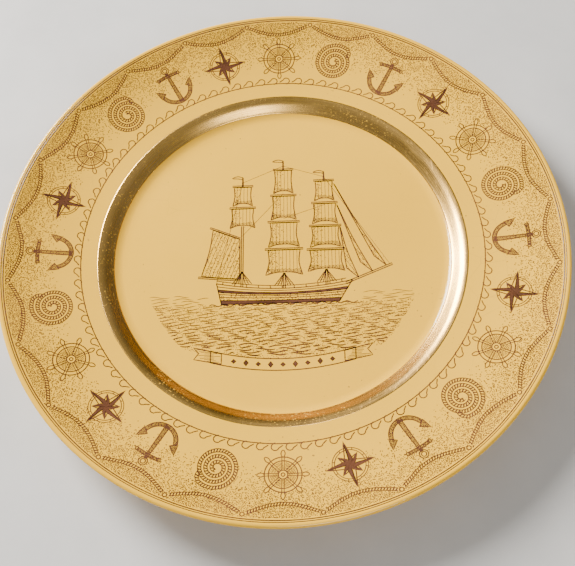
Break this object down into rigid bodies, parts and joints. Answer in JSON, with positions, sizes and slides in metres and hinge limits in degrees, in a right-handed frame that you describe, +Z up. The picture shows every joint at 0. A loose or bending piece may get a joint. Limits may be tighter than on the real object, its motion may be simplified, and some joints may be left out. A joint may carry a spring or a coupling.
{
  "type": "souvenir plate",
  "caption": "Round glazed wall plate with a rolled lip and foot ring, a gold band on the cavetto, a nautical rim print and a sailing ship printed in the well.",
  "frame": {"origin": "centre of the circle on which the foot ring stands, at the bottom of the plate", "axes": "+Z up through the plate's axis of symmetry, out of the face; +Y from the picture's foot to its top; +X to the picture's right"},
  "size_m": [0.265, 0.265, 0.0226],
  "materials": {
    "clay": "matt biscuit earthenware",
    "glaze": "glossy warm cream glaze",
    "gold": "burnished fired gold, lightly worn",
    "print": "sepia transfer print under gloss"
  },
  "bodies": {
    "root": {"plate_body": "clay", "face_glaze": "glaze", "foot_glaze": "glaze", "gold_band": "gold", "border_line": "print", "lip_line": "print", "centre_transfer": "print", "rim_transfer_1": "print", "rim_transfer_2": "print", "rim_transfer_3": "print", "rim_transfer_4": "print", "rim_transfer_5": "print", "rim_transfer_6": "print"}
  },
  "joints": []
}
